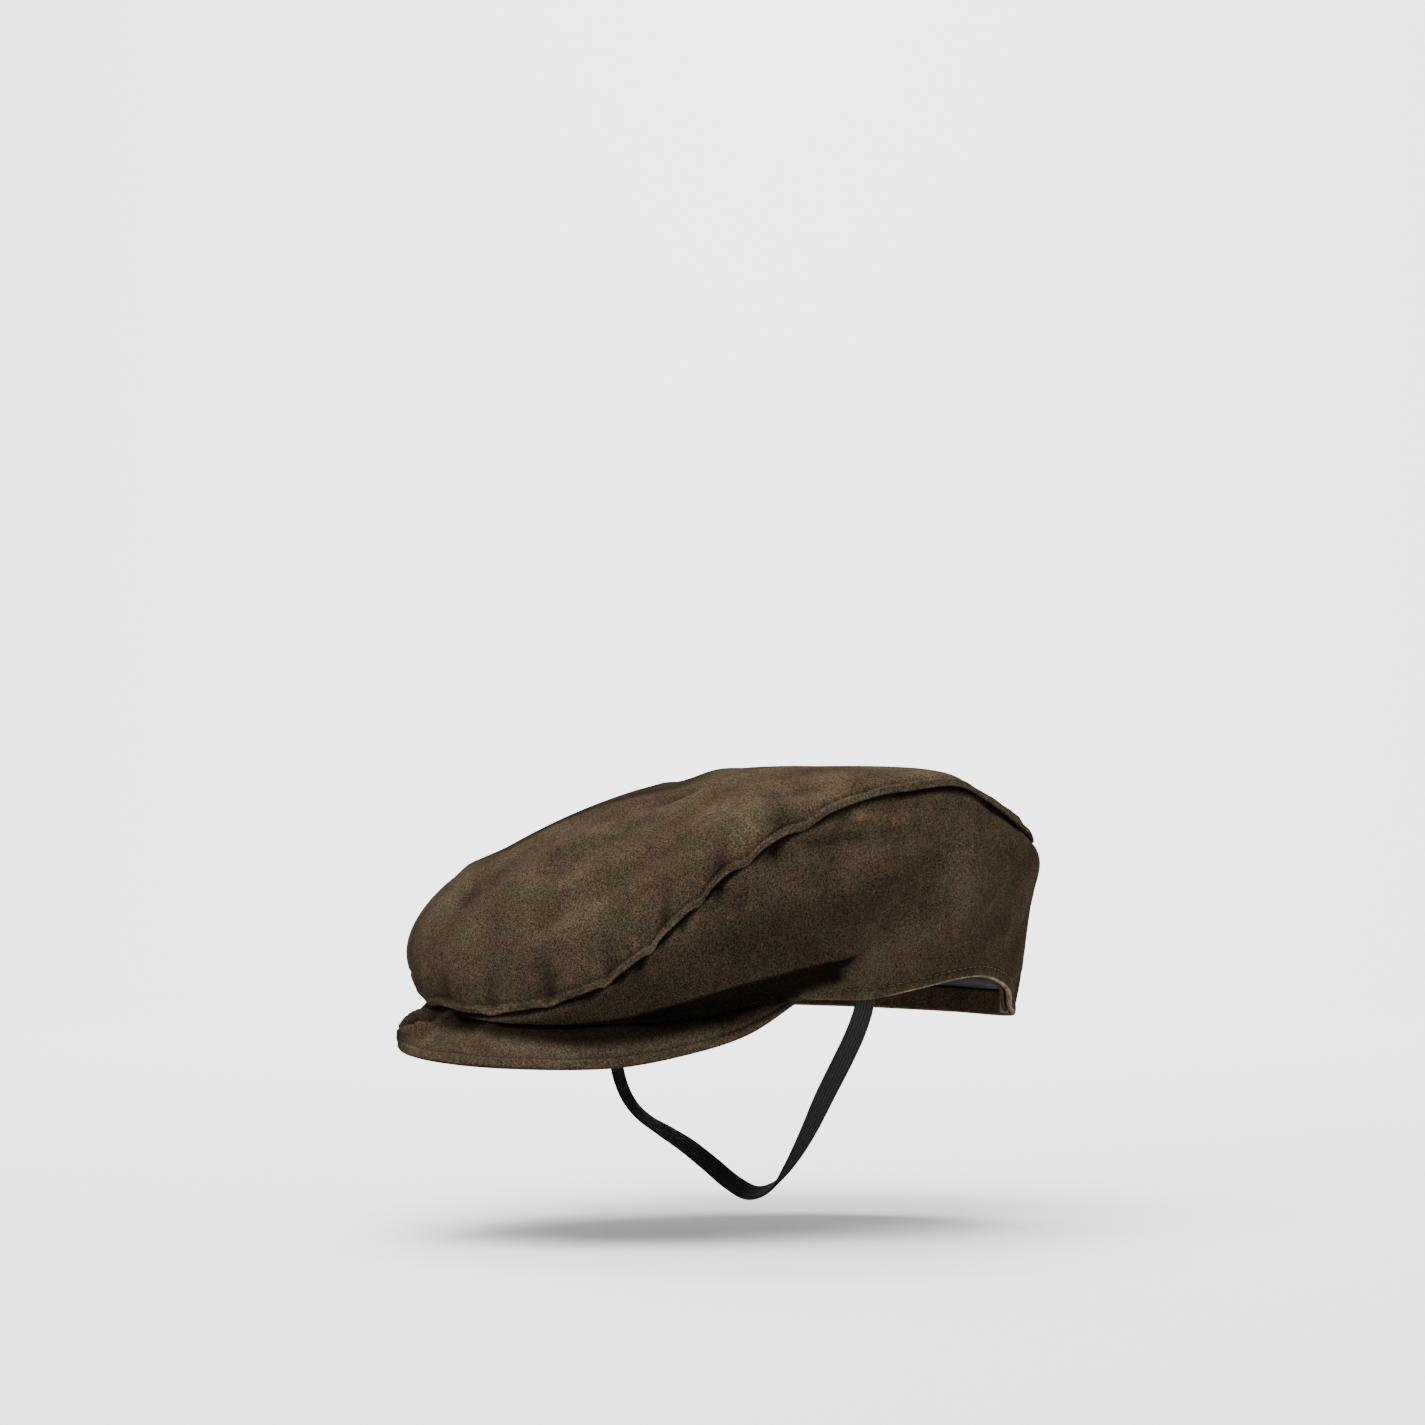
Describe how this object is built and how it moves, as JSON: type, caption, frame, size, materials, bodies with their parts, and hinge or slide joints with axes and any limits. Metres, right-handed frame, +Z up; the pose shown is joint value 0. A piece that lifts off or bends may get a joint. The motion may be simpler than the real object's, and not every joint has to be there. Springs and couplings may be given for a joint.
{
  "type": "flat cap",
  "caption": "Child's soft flat cap of waxed cotton with a full rounded crown, a short stitched peak, a lining and a flat elastic chin strap.",
  "frame": {"origin": "middle of the head opening, at the height of the hem over the ears", "axes": "+Z up through the crown, -Y towards the peak, +X towards the wearer's left"},
  "size_m": [0.1894, 0.2226, 0.1372],
  "materials": {
    "waxed_cotton": "matte",
    "facing_cotton": "matte",
    "lining_cloth": "satin",
    "elastic": "matte"
  },
  "bodies": {
    "root": {"top_panel": "waxed_cotton", "side_panel_left": "waxed_cotton", "side_panel_right": "waxed_cotton", "peak_upper": "waxed_cotton", "peak_under": "facing_cotton", "inner_band": "facing_cotton", "lining_top": "lining_cloth", "lining_side_left": "lining_cloth", "lining_side_right": "lining_cloth", "chin_strap": "elastic"}
  },
  "joints": []
}
